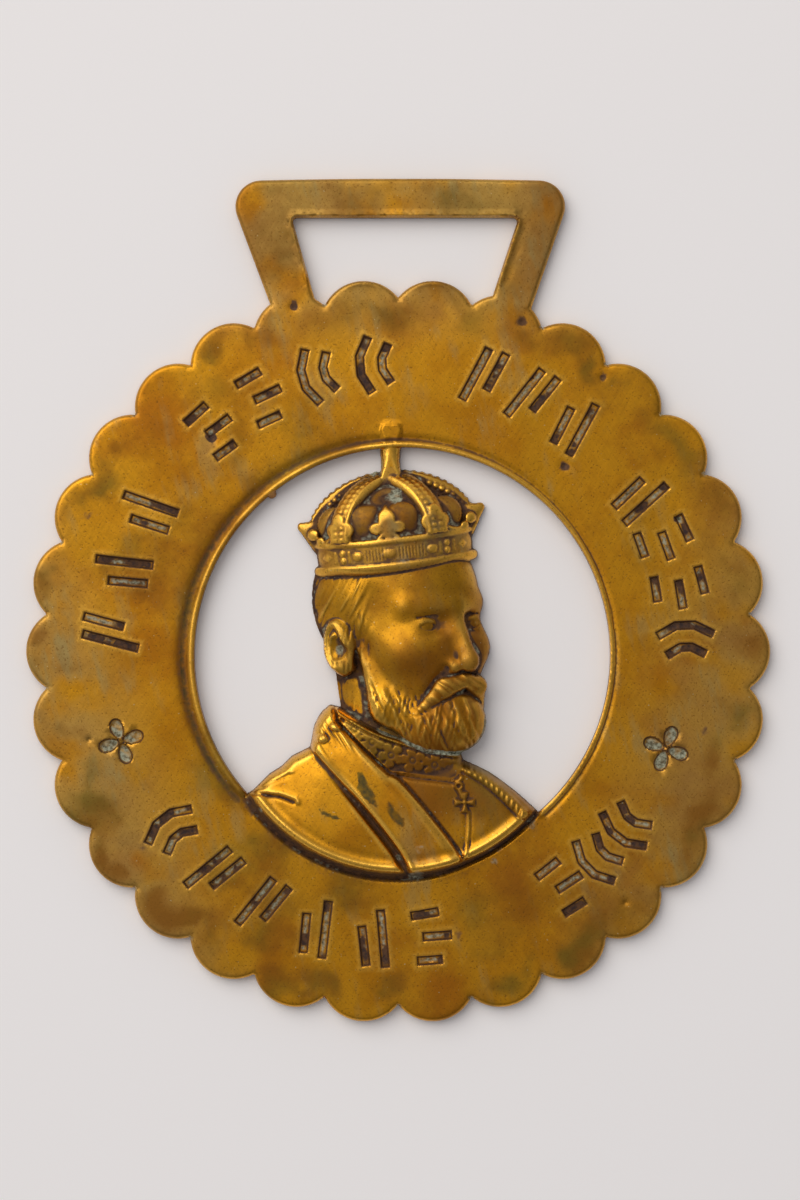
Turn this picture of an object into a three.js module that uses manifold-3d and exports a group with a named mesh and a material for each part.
// A struck and pierced horse brass: a scalloped ring with a strap hanger at the top and, in its
// round window, a crowned and bearded bust in relief. It is one sheet of brass, hollow behind the
// bust. Millimetres, +Z up. It lies on its back, face up, with the hanger towards +Y. The origin
// is the middle of the underside of the whole piece.
import * as THREE from 'three';
import { mergeVertices } from 'three/addons/utils/BufferGeometryUtils.js';
import Module from 'manifold-3d';

const wasm = await Module();
wasm.setup();

// Plate
const THICK = 1.5;                  // sheet thickness
const EDGE = 0.35;                  // chamfer on every pierced edge, on the face side
const LOBES = 30;                   // scallops round the ring
const LOBE_RADIUS = 4.67;
const LOBE_CENTRES = 35.33;         // circle the scallop centres lie on
const LOBE_STEPS = 6;
const HANGER_TOP = 50.8;            // above the ring's centre
const HANGER_SAG = 0.3;             // how much its top edge falls towards the corners
const HANGER_OUT = [[-18.7, -13.9], [19.05, 14.6]];   // sides: x at the top, x at the ring
const HANGER_FOOT = 37.67;
const HANGER_CORNER = 2.8;
const SLOT_TOP = 46.63;
const SLOT_OUT = [[-11.45, -9.0], [12.95, 10.1]];
const SLOT_FOOT = 38.0;
const SLOT_CORNER = 0.4;
const WINDOW = { x: 0.45, y: -0.45, r: 22.36, steps: 60 };
const BEAD = { width: 0.9, height: 0.4, groove: 0.55, sink: 0.25 };
const BURR = { angle: 129, r: 0.55 };

// Bust
const FLAT = 0.55;                  // a head in the round is pressed to this share of its depth
const WALL = 1.3;                   // thickness left over the hollow back
const FOOT_ARC = { x: 0, y: -4.4, r: 19.3, steps: 64 };
const CHANNEL = { width: 1.0, floor: 1.15 };
const HEAD = { at: [0.5, 2.9, 0], yaw: 40, pitch: 2, roll: 2, size: 1.05 };
const CROWN = { at: [-0.15, 9.05, 0], yaw: 0, pitch: 4, roll: 6.5, size: 1, lift: 0.15 };
const CROWN_RADIUS = 8.33;

// Sunk work on the ring
const STROKE = { width: 0.95, depth: 0.35, circle: 30.9, ends: 2 };
const PETAL = { long: 1.25, wide: 0.75, depth: 0.4, from: 1.35, steps: 8 };
const FLOWERS = [{ angle: 198, circle: 31.3 }, { angle: 340, circle: 30.6 }];
// each row of strokes: first and last angle, how many groups of strokes, and 1 for a row read
// from the inside of the ring or -1 for one read from the outside
const ROWS = [
  { from: 176.4, to: 151, groups: 3, up: 1 },
  { from: 129.5, to: 94.6, groups: 4, up: 1 },
  { from: 72.8, to: 52, groups: 3, up: 1 },
  { from: 32.5, to: 2.2, groups: 4, up: 1 },
  { from: 218.5, to: 276.9, groups: 6, up: -1 },
  { from: 305.6, to: 322.8, groups: 3, up: -1 },
];
// groups of strokes, each stroke as a line of points (along the row, out from its middle)
const LEANING_PAIR = [[[-1.35, -2.6], [-0.35, 2.6]], [[0.85, -0.9], [1.55, 2.6]]];
const BOWED_PAIR = [
  [[-0.75, -2.6], [-1.6, -1.0], [-1.6, 1.0], [-0.75, 2.6]],
  [[1.35, -1.7], [0.75, -0.6], [0.75, 0.6], [1.35, 1.7]],
];
const STACKED_DASHES = [[[-1.6, 2.5], [0.5, 2.6]], [[-0.6, 0.1], [1.6, 0]], [[-1.5, -2.4], [0.3, -2.5]]];
const LEANING_BACK = [[[1.4, -2.6], [0.5, 2.6]], [[-0.7, -2.6], [-1.35, 0.7]]];
const GROUPS = [LEANING_PAIR, BOWED_PAIR, STACKED_DASHES, LEANING_BACK];

const rad = (degrees) => degrees * Math.PI / 180;
const v2 = (x, y) => new THREE.Vector2(x, y);
const v3 = (p) => new THREE.Vector3(...p);

// ---- solids ----
function solid(geometry, matrix = new THREE.Matrix4()) {
  const bare = geometry.clone();
  bare.applyMatrix4(matrix);
  bare.deleteAttribute('normal');
  bare.deleteAttribute('uv');
  const joined = mergeVertices(bare, 1e-4);
  return new wasm.Manifold(new wasm.Mesh({
    numProp: 3,
    vertProperties: new Float32Array(joined.attributes.position.array),
    triVerts: new Uint32Array(joined.index.array),
  }));
}

function join(solids) {
  return solids.reduce((all, next) => all.add(next));
}

function prism(points, low, high, holes = []) {
  const shape = new THREE.Shape(points);
  shape.holes = holes.map((hole) => new THREE.Path(hole));
  const geometry = new THREE.ExtrudeGeometry(shape, { depth: high - low, bevelEnabled: false });
  return solid(geometry, new THREE.Matrix4().makeTranslation(0, 0, low));
}

function chamferedPrism(points, low, high, edge, holes = []) {
  const shape = new THREE.Shape(points);
  shape.holes = holes.map((hole) => new THREE.Path(hole));
  const geometry = new THREE.ExtrudeGeometry(shape, {
    depth: high - low - 2 * edge,
    bevelThickness: edge,
    bevelSize: edge,
    bevelOffset: -edge,
    bevelSegments: 1,
  });
  return solid(geometry, new THREE.Matrix4().makeTranslation(0, 0, low + edge));
}

function circlePoints(x, y, r, steps) {
  return Array.from({ length: steps }, (unused, i) => {
    const a = 2 * Math.PI * i / steps;
    return v2(x + r * Math.cos(a), y + r * Math.sin(a));
  });
}

function ellipsoid(centre, radii, across = 16, tall = 10) {
  const matrix = new THREE.Matrix4().compose(v3(centre), new THREE.Quaternion(), v3(radii));
  return solid(new THREE.SphereGeometry(1, across, tall), matrix);
}

// a tapered rod with round ends
function limb(from, to, r0, r1, sides = 12, caps = 3) {
  const a = v3(from);
  const b = v3(to);
  const length = a.distanceTo(b);
  const profile = [v2(0, -r0)];
  for (let i = 1; i <= caps; i += 1) {
    const t = rad(-90 + 90 * i / caps);
    profile.push(v2(r0 * Math.cos(t), r0 * Math.sin(t)));
  }
  for (let i = 0; i < caps; i += 1) {
    const t = rad(90 * i / caps);
    profile.push(v2(r1 * Math.cos(t), length + r1 * Math.sin(t)));
  }
  profile.push(v2(0, length + r1));
  const turn = new THREE.Quaternion().setFromUnitVectors(v3([0, 1, 0]), b.clone().sub(a).normalize());
  const matrix = new THREE.Matrix4().compose(a, turn, v3([1, 1, 1]));
  return solid(new THREE.LatheGeometry(profile, sides), matrix);
}

// a round bar along a curve through the points
function bar(points, r, steps, sides = 6) {
  const curve = new THREE.CatmullRomCurve3(points.map(v3));
  const section = new THREE.Shape(circlePoints(0, 0, r, sides));
  return solid(new THREE.ExtrudeGeometry(section, { steps, extrudePath: curve, bevelEnabled: false }));
}

function poseMatrix({ at, yaw, pitch, roll, size }, lift = 0) {
  const turn = new THREE.Matrix4().makeRotationFromEuler(
    new THREE.Euler(rad(pitch), rad(yaw), rad(roll), 'ZXY'));
  const place = new THREE.Matrix4().makeTranslation(...at).multiply(turn)
    .multiply(new THREE.Matrix4().makeScale(size, size, size));
  const press = new THREE.Matrix4().makeScale(1, 1, FLAT);
  return new THREE.Matrix4().makeTranslation(0, 0, lift).multiply(press).multiply(place);
}

function posed(body, matrix) {
  return body.transform(matrix.elements);
}

// ---- ring and hanger ----
function lobePoint(lobe, turn) {
  const a = rad(360 / LOBES * lobe);
  const b = a + rad(turn);
  return v2(
    LOBE_CENTRES * Math.cos(a) + LOBE_RADIUS * Math.cos(b),
    LOBE_CENTRES * Math.sin(a) + LOBE_RADIUS * Math.sin(b));
}

// half the turn of one scallop's arc, between its two notches
const HALF_STEP = rad(180 / LOBES);
const NOTCH_RUN = LOBE_CENTRES * Math.sin(HALF_STEP);
const NOTCH = LOBE_CENTRES * Math.cos(HALF_STEP) + Math.sqrt(LOBE_RADIUS ** 2 - NOTCH_RUN ** 2);
const HALF_ARC = THREE.MathUtils.radToDeg(
  Math.atan2(NOTCH * Math.sin(HALF_STEP), NOTCH * Math.cos(HALF_STEP) - LOBE_CENTRES));

function scallops(first, last, startTurn = -HALF_ARC, endTurn = HALF_ARC) {
  const points = [];
  for (let lobe = first; lobe <= last; lobe += 1) {
    const low = lobe === first ? startTurn : -HALF_ARC;
    const high = lobe === last ? endTurn : HALF_ARC;
    const steps = Math.max(1, Math.round(LOBE_STEPS * (high - low) / (2 * HALF_ARC)));
    for (let i = lobe === first ? 0 : 1; i <= steps; i += 1) {
      points.push(lobePoint(lobe, low + (high - low) * i / steps));
    }
  }
  return points;
}

// where a straight side meets the scallop of the given number, as a turn round that scallop
function turnAtSide(lobe, top, foot, topY, footY) {
  let best = { gap: Infinity, turn: 0 };
  for (let turn = -HALF_ARC; turn <= HALF_ARC; turn += 0.05) {
    const p = lobePoint(lobe, turn);
    const x = foot + (top - foot) * (p.y - footY) / (topY - footY);
    const gap = Math.abs(p.x - x);
    if (gap < best.gap) best = { gap, turn };
  }
  return best.turn;
}

function roundedCorner(before, corner, after, radius, steps) {
  const a = before.clone().sub(corner).normalize();
  const b = after.clone().sub(corner).normalize();
  const half = Math.acos(a.dot(b)) / 2;
  const reach = radius / Math.tan(half);
  const start = corner.clone().addScaledVector(a, reach);
  const end = corner.clone().addScaledVector(b, reach);
  const middle = corner.clone().addScaledVector(a.clone().add(b).normalize(), radius / Math.sin(half));
  const from = Math.atan2(start.y - middle.y, start.x - middle.x);
  const sweep = Math.atan2(end.y - middle.y, end.x - middle.x) - from;
  const turn = Math.atan2(Math.sin(sweep), Math.cos(sweep));
  return Array.from({ length: steps + 1 }, (unused, i) => {
    const angle = from + turn * i / steps;
    return v2(middle.x + radius * Math.cos(angle), middle.y + radius * Math.sin(angle));
  });
}

const [outLeft, outRight] = HANGER_OUT;
const [inLeft, inRight] = SLOT_OUT;
const RIGHT_LOBE = 6;               // scallops under the hanger's two legs
const LEFT_LOBE = 9;

function outline() {
  const right = turnAtSide(RIGHT_LOBE, outRight[0], outRight[1], HANGER_TOP, HANGER_FOOT);
  const left = turnAtSide(LEFT_LOBE, outLeft[0], outLeft[1], HANGER_TOP, HANGER_FOOT);
  const round = scallops(LEFT_LOBE, RIGHT_LOBE + LOBES, left, right);
  const cornerY = HANGER_TOP - HANGER_SAG;
  const corners = [v2(outRight[0], cornerY), v2(outLeft[0], cornerY)];
  const crest = [];
  for (let i = 1; i < 4; i += 1) {
    const t = i / 4;
    crest.push(v2(
      THREE.MathUtils.lerp(corners[0].x, corners[1].x, t),
      cornerY + HANGER_SAG * 4 * t * (1 - t)));
  }
  return [
    ...round,
    ...roundedCorner(v2(outRight[1], HANGER_FOOT), corners[0], crest[0], HANGER_CORNER, 5),
    ...crest,
    ...roundedCorner(crest[2], corners[1], v2(outLeft[1], HANGER_FOOT), HANGER_CORNER, 5),
  ];
}

function slot() {
  const right = turnAtSide(RIGHT_LOBE, inRight[0], inRight[1], SLOT_TOP, SLOT_FOOT);
  const left = turnAtSide(LEFT_LOBE, inLeft[0], inLeft[1], SLOT_TOP, SLOT_FOOT);
  const edge = scallops(RIGHT_LOBE, LEFT_LOBE, right, left);
  const topLeft = v2(inLeft[0], SLOT_TOP);
  const topRight = v2(inRight[0], SLOT_TOP);
  return [
    ...edge,
    ...roundedCorner(edge[edge.length - 1], topLeft, topRight, SLOT_CORNER, 2),
    ...roundedCorner(topLeft, topRight, edge[0], SLOT_CORNER, 2),
  ];
}

function ringAbout({ x, y, steps }, profile) {
  const matrix = new THREE.Matrix4().makeTranslation(x, y, 0);
  matrix.multiply(new THREE.Matrix4().makeRotationX(Math.PI / 2));
  const points = profile.map(([r, z]) => v2(r, z));
  return solid(new THREE.LatheGeometry([...points, points[0]], steps), matrix);
}

// ---- sunk strokes and flowers ----
function strokeOutline(line) {
  const half = STROKE.width / 2;
  const sides = [[], []];
  line.forEach((p, i) => {
    const before = line[Math.max(0, i - 1)];
    const after = line[Math.min(line.length - 1, i + 1)];
    const along = after.clone().sub(before).normalize();
    const across = v2(-along.y, along.x).multiplyScalar(half);
    sides[0].push(p.clone().add(across));
    sides[1].unshift(p.clone().sub(across));
  });
  const cap = (end, along) => {
    const start = Math.atan2(along.y, along.x) + Math.PI / 2;
    const points = [];
    for (let i = 1; i < STROKE.ends; i += 1) {
      const a = start - Math.PI * i / STROKE.ends;
      points.push(v2(end.x + half * Math.cos(a), end.y + half * Math.sin(a)));
    }
    return points;
  };
  const last = line.length - 1;
  const forward = line[last].clone().sub(line[last - 1]);
  const backward = line[0].clone().sub(line[1]);
  return [...sides[0], ...cap(line[last], forward), ...sides[1], ...cap(line[0], backward)];
}

function strokeCutters() {
  const cutters = [];
  let count = 0;
  for (const row of ROWS) {
    for (let i = 0; i < row.groups; i += 1) {
      const angle = rad(row.from + (row.to - row.from) * i / (row.groups - 1));
      const out = v2(Math.cos(angle), Math.sin(angle)).multiplyScalar(row.up);
      const along = v2(out.y, -out.x);
      for (const stroke of GROUPS[(count * 3 + (count >> 1)) % GROUPS.length]) {
        const line = stroke.map(([s, h]) => v2(0, 0)
          .addScaledVector(out, STROKE.circle * row.up + h)
          .addScaledVector(along, s));
        cutters.push(prism(strokeOutline(line), THICK - STROKE.depth, THICK + 1));
      }
      count += 1;
    }
  }
  return cutters;
}

function flowerCutters() {
  const cutters = [];
  for (const { angle, circle } of FLOWERS) {
    for (let i = 0; i < 4; i += 1) {
      const matrix = new THREE.Matrix4().makeTranslation(
        circle * Math.cos(rad(angle)), circle * Math.sin(rad(angle)), THICK - PETAL.depth);
      matrix.multiply(new THREE.Matrix4().makeRotationZ(rad(angle + 90 * i)));
      matrix.multiply(new THREE.Matrix4().makeTranslation(PETAL.from, 0, 0));
      matrix.multiply(new THREE.Matrix4().makeScale(PETAL.long, PETAL.wide, 1));
      cutters.push(posed(prism(circlePoints(0, 0, 1, PETAL.steps), 0, 1), matrix));
    }
  }
  return cutters;
}

function makePlate() {
  const window = circlePoints(WINDOW.x, WINDOW.y, WINDOW.r + BEAD.width / 2, WINDOW.steps);
  const plate = chamferedPrism(outline(), -EDGE, THICK, EDGE, [slot(), window]);
  const inner = WINDOW.r;
  const outer = inner + BEAD.width;
  const groove = ringAbout(WINDOW, [
    [outer - 0.1, THICK + 1],
    [outer - 0.1, THICK - BEAD.sink],
    [outer + BEAD.groove, THICK],
    [outer + BEAD.groove, THICK + 1],
  ]);
  const bead = ringAbout(WINDOW, [
    [inner, -EDGE],
    [outer, -EDGE],
    [outer, THICK],
    [inner + BEAD.width / 2, THICK + BEAD.height],
    [inner, THICK],
  ]);
  const burrAngle = rad(BURR.angle);
  const burr = ellipsoid(
    [WINDOW.x + WINDOW.r * Math.cos(burrAngle), WINDOW.y + WINDOW.r * Math.sin(burrAngle), THICK * 0.6],
    [BURR.r, BURR.r, THICK * 0.6], 8, 6);
  return plate.subtract(groove).add(bead).add(burr);
}

// ---- bust: coat, lapel and collar ----
const spline = (points, steps) => new THREE.SplineCurve(points.map((p) => v2(...p))).getPoints(steps);

const LEFT_SHOULDER = [[-17.2, -15.9], [-15.7, -15.0], [-13.9, -13.2], [-12.6, -12.4], [-11.5, -11.3]];
const NAPE = [-7.0, -5.5];
const LAPEL_BACK = [[-9.5, -10.3], [-9.3, -9.4], [-9.0, -7.9], [-8.2, -6.5], NAPE];
const LAPEL_LEFT = [[-9.5, -10.3], [-6.1, -14.0], [-3.0, -17.5], [0.2, -21.7], [1.6, -24.6]];
const LAPEL_RIGHT = [
  NAPE, [-6.1, -7.2], [-3.4, -10.2], [0.2, -13.6], [3.8, -17.8], [6.5, -21.4], [7.4, -23.6]];
const COLLAR_TOP = [[-6.9, -5.62], [-4.6, -7.0], [-2.0, -8.35], [2.5, -9.8], [6.7, -10.7]];
const COLLAR_FRONT = [[7.3, -11.8], [6.4, -13.6], [5.6, -13.9]];
const COLLAR_FOOT = [[-0.9, -13.1], [-3.7, -10.5], [-6.5, -7.6]];     // under the lapel
const RIGHT_SHOULDER = [
  [7.0, -11.7], [9.6, -12.9], [11.9, -14.5], [13.7, -16.0], [15.6, -17.8], [17.0, -19.5]];
const TORSO = { at: [0.3, -20, 0.9], radii: [18.6, 16.5, 3.0] };
const LAPEL_RISE = 0.75;
const COLLAR = { at: [0.8, -8, 0.6], radii: [10.6, 9, 3.6] };

const BRAID = [[7.1, -12.3], [10.2, -14.3], [13.4, -17.4]];
const MEDAL = { at: [7.1, -16.1], arm: 1.25, half: 0.28 };
const COAT_FRONT = [[7.4, -17.6], [7.1, -21.6]];

function bustOutline() {
  return [
    ...LEFT_SHOULDER.map((p) => v2(...p)),
    ...spline(LAPEL_BACK, 8),
    ...spline([[-4.6, -7.0], [-2.0, -8.35], [2.5, -9.8], [6.7, -10.7]], 4),
    ...spline(RIGHT_SHOULDER, 10),
    v2(17, -26),
    v2(-18, -26),
  ];
}

function torsoHeight(x, y) {
  const [cx, cy, cz] = TORSO.at;
  const [rx, ry, rz] = TORSO.radii;
  return cz + rz * Math.sqrt(Math.max(0, 1 - ((x - cx) / rx) ** 2 - ((y - cy) / ry) ** 2));
}

// a raised cord laid on the coat
function cordOn(points, r, sink, steps) {
  const path = spline(points, steps).map((p) => [p.x, p.y, torsoHeight(p.x, p.y) - sink]);
  return bar(path, r, steps);
}

function makeTorso() {
  const arc = circlePoints(FOOT_ARC.x, FOOT_ARC.y, FOOT_ARC.r, FOOT_ARC.steps);
  const body = ellipsoid(TORSO.at, TORSO.radii, 36, 18);
  const [tx, ty, tz] = TORSO.radii;
  const raised = ellipsoid(TORSO.at, [tx + LAPEL_RISE, ty + LAPEL_RISE, tz + LAPEL_RISE], 32, 16);
  const lapelOutline = [
    ...spline(LAPEL_LEFT, 10).reverse(),
    ...spline(LAPEL_BACK, 8).slice(1),
    ...spline(LAPEL_RIGHT, 12).slice(1),
  ];
  const lapel = chamferedPrism(lapelOutline, 0, 6, 0.3).intersect(raised);
  const base = prism(bustOutline(), 0, 1.5);
  const coat = prism(bustOutline(), 0, 8).intersect(body);
  const crease = bar(spline(LAPEL_LEFT, 7).map((p) => [p.x, p.y, torsoHeight(p.x, p.y)]), 0.4, 7);
  return coat.add(lapel).add(base).subtract(crease).intersect(prism(arc, -1, 9));
}

function makeCollar() {
  const shape = [
    ...spline(COLLAR_TOP, 8),
    ...COLLAR_FRONT.map((p) => v2(...p)),
    ...COLLAR_FOOT.map((p) => v2(...p)),
  ];
  const stand = ellipsoid(COLLAR.at, COLLAR.radii, 24, 12);
  const band = prism(shape, 0, 6).intersect(stand);
  const [cx, cy, cz] = COLLAR.at;
  const [rx, ry, rz] = COLLAR.radii;
  const rim = bar(spline(COLLAR_TOP, 6).map((p) => {
    const q = 1 - ((p.x - cx) / rx) ** 2 - ((p.y - cy) / ry) ** 2;
    return [p.x, p.y, cz + rz * Math.sqrt(q) - 0.1];
  }), 0.34, 8);
  return band.add(rim);
}

function makeMedal() {
  const [x, y] = MEDAL.at;
  const z = torsoHeight(x, y);
  const { arm, half } = MEDAL;
  const bars = [0, 90].map((turn) => {
    const shape = [v2(-arm, -half * 1.7), v2(0, -half), v2(arm, -half * 1.7)];
    const outlinePoints = [...shape, ...shape.map((p) => v2(-p.x, -p.y))];
    const matrix = new THREE.Matrix4().makeTranslation(x, y, z - 0.5);
    matrix.multiply(new THREE.Matrix4().makeRotationZ(rad(turn)));
    return posed(prism(outlinePoints, 0, 0.85), matrix);
  });
  const link = ellipsoid([6.4, -14.3, torsoHeight(6.4, -14.3)], [0.45, 0.5, 0.45], 8, 6);
  return join([...bars, link]);
}

// ---- bust: head ----
const CRANIUM = { at: [0, 2.7, -1.35], radii: [7.95, 8.55, 9.8] };
const JAW = { at: [0, -3.2, 3.0], radii: [6.2, 8.2, 5.9] };
const FACE = { at: [0, -2.4, 3.6], radii: [6.0, 4.6, 5.4] };
const BEARD = { at: [0, -9.7, 6.0], radii: [4.2, 3.7, 3.9] };

function makeHead() {
  const forms = [
    ellipsoid(CRANIUM.at, CRANIUM.radii, 24, 16),
    ellipsoid(JAW.at, JAW.radii, 18, 12),
    ellipsoid(BEARD.at, BEARD.radii, 16, 10),
    ellipsoid(FACE.at, FACE.radii, 18, 12),
    limb([0, -3, -3.9], [0, -17, -0.5], 5.6, 5.2, 16, 2),
    limb([-6.2, -2.6, 1.0], [-4.9, -8.0, 3.2], 0.9, 1.9, 8, 2),
    limb([-4.9, -8.0, 3.2], [-2.2, -10.2, 5.8], 1.9, 2.5, 10, 2),
  ];
  const sockets = [];
  for (const side of [-1, 1]) {
    forms.push(
      limb([side * 0.6, 1.9, 7.75], [side * 4.5, 2.1, 5.95], 1.0, 0.95, 8, 2),
    );
    sockets.push(ellipsoid([side * 2.9, 0.3, 8.7], [1.7, 1.0, 1.6], 10, 6));
  }
  let head = join(forms).subtract(join(sockets));
  const features = [
    limb([0, 1.0, 8.1], [0, -3.5, 10.4], 0.75, 1.0, 10, 2),
    ellipsoid([0, -3.8, 10.45], [1.05, 1.0, 1.0], 10, 6),
    limb([0, -7.7, 8.75], [0, -7.6, 8.2], 0.7, 0.6, 8, 2),
  ];
  for (const side of [-1, 1]) {
    const eye = [side * 3.0, 0, 6.35];
    const lids = ellipsoid(eye, [1.55, 1.55, 1.55], 10, 8);
    const opening = ellipsoid([side * 3.0, -0.12, 8.1], [1.3, 0.52, 1.3], 8, 4);
    features.push(
      side < 0 ? lids.subtract(opening).add(ellipsoid(eye, [1.33, 1.33, 1.33], 8, 6)) : lids,
      ellipsoid([side * 1.0, -4.2, 9.0], [0.85, 0.75, 0.9], 8, 6),
      limb([side * 0.25, -5.75, 9.5], [side * 2.3, -6.4, 8.7], 0.75, 0.85, 8, 2),
      limb([side * 2.3, -6.4, 8.7], [side * 4.1, -8.3, 6.9], 0.85, 0.4, 8, 2),
    );
  }
  head = head.add(join(features));
  const ear = ellipsoid([-7.55, -1.5, -0.9], [1.25, 2.95, 1.85], 12, 10)
    .subtract(ellipsoid([-8.9, -1.6, -0.45], [0.95, 1.75, 1.0], 10, 6));
  return posed(head.add(ear), poseMatrix(HEAD));
}

// ---- bust: crown ----
const TIP_TURNS = [-85, 84];        // the two ornaments seen edge on, at the outline
const OUTER_ARCHES = [-90, 90];
const INNER_ARCHES = [-41, 33];
const FLEUR_TURN = -3.6;
const ARCH_SPREAD = 8.55;
const ARCH_RISE = 6.1;

function onCrown(turn, r, v) {
  return [r * Math.sin(rad(turn)), v, r * Math.cos(rad(turn))];
}

function archPoints(turn, steps) {
  return Array.from({ length: steps + 1 }, (unused, i) => {
    const a = rad(86 * i / steps);
    return onCrown(turn, ARCH_SPREAD * Math.cos(a), 3.6 + ARCH_RISE * Math.sin(a));
  });
}

function crownRing(profile, steps = 36) {
  const points = profile.map(([r, v]) => v2(r, v));
  return solid(new THREE.LatheGeometry(points, steps));
}

// half outlines of the ornaments that stand on the band, from the foot up
const FLEUR = [[0.9, 0], [0.75, 0.45], [1.45, 0.75], [1.45, 1.5], [0.6, 1.45], [0.62, 2.3], [0, 3.35]];
const CROSS = [[0.6, 0], [0.55, 0.6], [1.3, 0.75], [1.3, 1.8], [0.5, 1.9], [0, 2.2]];
const ORNAMENT = { foot: 3.5, from: 7.0, to: 9.1 };

// an ornament standing on the band, turned round the crown
function standing(half, turn) {
  const right = half.map((p) => v2(...p));
  const left = right.slice(0, -1).reverse().map((p) => v2(-p.x, p.y));
  const matrix = new THREE.Matrix4().makeRotationY(rad(turn));
  matrix.multiply(new THREE.Matrix4().makeTranslation(0, ORNAMENT.foot, 0));
  return posed(chamferedPrism([...right, ...left], ORNAMENT.from, ORNAMENT.to, 0.2), matrix);
}

function makeCrown() {
  const R = CROWN_RADIUS;
  const band = crownRing([
    [0, 0.05], [R + 0.1, 0.05], [R + 0.45, 0.3], [R + 0.5, 0.7], [R + 0.15, 1.0], [R - 0.08, 1.05],
    [R, 3.05], [R + 0.25, 3.1], [R + 0.35, 3.4], [R + 0.2, 3.68], [0, 3.7]]);
  const forms = [
    band,
    ellipsoid([0, 3.2, 0], [8.25, 6.0, 8.25], 20, 12),
    ellipsoid([0.35, 9.6, 0.2], [1.2, 1.2, 1.2], 10, 6),
  ];
  for (const turn of OUTER_ARCHES) {
    forms.push(bar(archPoints(turn, 5), 0.75, 5));
  }
  for (const turn of INNER_ARCHES) {
    forms.push(bar(archPoints(turn, 5), 0.8, 5));
    forms.push(standing(CROSS, turn));
  }
  for (const turn of TIP_TURNS) {
    forms.push(limb(onCrown(turn, 8.0, 3.3), onCrown(turn, 9.75, 5.5), 0.9, 0.4, 8, 2));
    forms.push(limb(onCrown(turn, 7.4, 5.0), onCrown(turn, 9.6, 5.5), 1.1, 0.45, 8, 2));
  }
  forms.push(standing(FLEUR, FLEUR_TURN));
  return posed(join(forms), poseMatrix(CROWN, CROWN.lift));
}

function makeStem() {
  const shape = [
    v2(-2.0, 18.0), v2(0.45, 18.0), v2(0.3, 20.4), v2(0.55, 21.3), v2(1.4, 22.2), v2(1.4, 23.2),
    v2(-2.9, 23.2), v2(-2.9, 22.2), v2(-2.05, 21.3), v2(-1.85, 20.4)];
  return chamferedPrism(shape, 0, THICK + 0.5, 0.3);
}

// ---- hollow behind the bust ----
function hollow() {
  const shrink = (form, across, tall) => ellipsoid(form.at, form.radii.map((r) => r - WALL), across, tall);
  const head = join([
    shrink(CRANIUM, 16, 10),
    shrink(JAW, 14, 10),
    shrink(BEARD, 8, 6),
    limb([0, -3, -3.9], [0, -14, -1.2], 5.6 - WALL, 5.2 - WALL, 12, 2),
  ]);
  const crown = crownRing([
    [0, -4], [CROWN_RADIUS - WALL, -4], [CROWN_RADIUS - WALL, 2.4], [5.8, 5.0], [3.6, 7.0], [0, 7.8]], 20);
  const [tx, ty, tz] = TORSO.radii;
  const chest = ellipsoid(TORSO.at, [tx - 2 * WALL, ty - WALL, tz], 24, 14);
  const arc = circlePoints(FOOT_ARC.x, FOOT_ARC.y, FOOT_ARC.r - WALL, 40);
  const edge = new THREE.Matrix4().makeTranslation(0.3, -1.7, -WALL);
  const shoulders = posed(prism(bustOutline(), -1, 8), edge)
    .intersect(posed(prism(bustOutline(), -1, 8), new THREE.Matrix4().makeTranslation(0, -1.2, -WALL)))
    .intersect(prism(arc, -3, 8));
  const sink = new THREE.Matrix4().makeTranslation(0, 0, -WALL * (1 - FLAT));
  return join([
    posed(posed(head, poseMatrix(HEAD)), sink),
    posed(posed(crown, poseMatrix(CROWN)), sink),
    posed(chest, new THREE.Matrix4().makeTranslation(0, 0, -WALL)).intersect(shoulders),
  ]);
}

// ---- the whole brass ----
function makeBrass() {
  const above = prism([v2(-60, -60), v2(60, -60), v2(60, 60), v2(-60, 60)], 0, 30);
  const channelOuter = circlePoints(FOOT_ARC.x, FOOT_ARC.y, FOOT_ARC.r + CHANNEL.width, FOOT_ARC.steps);
  const bustArea = prism(bustOutline(), 0, 10);
  const foot = prism(channelOuter, 0, CHANNEL.floor).intersect(bustArea);
  const channel = prism(channelOuter, CHANNEL.floor, 10).intersect(bustArea);
  const plate = makePlate().intersect(above).subtract(channel).add(foot)
    .subtract(join([...strokeCutters(), ...flowerCutters()]));
  const bust = join([
    makeHead(),
    makeCrown(),
    makeTorso(),
    makeCollar(),
    makeMedal(),
    cordOn(BRAID, 0.5, 0.05, 6),
    cordOn(COAT_FRONT, 0.25, 0, 2),
    makeStem(),
  ]).intersect(above);
  return plate.add(bust).subtract(hollow());
}

function toGeometry(body) {
  const mesh = body.getMesh();
  const geometry = new THREE.BufferGeometry();
  geometry.setAttribute('position', new THREE.BufferAttribute(new Float32Array(mesh.vertProperties), 3));
  geometry.setIndex(new THREE.BufferAttribute(new Uint32Array(mesh.triVerts), 1));
  geometry.computeVertexNormals();
  return geometry;
}

const brass = new THREE.MeshStandardMaterial({ color: 0xb07a1e, roughness: 0.35, metalness: 1 });
const horseBrass = new THREE.Mesh(toGeometry(makeBrass()), brass);
horseBrass.name = 'horse_brass';
// the ring was drawn about its own centre, so the whole is moved to the middle of its length
horseBrass.geometry.computeBoundingBox();
horseBrass.position.y = -horseBrass.geometry.boundingBox.getCenter(new THREE.Vector3()).y;

const part = new THREE.Group();
part.add(horseBrass);
export default part;
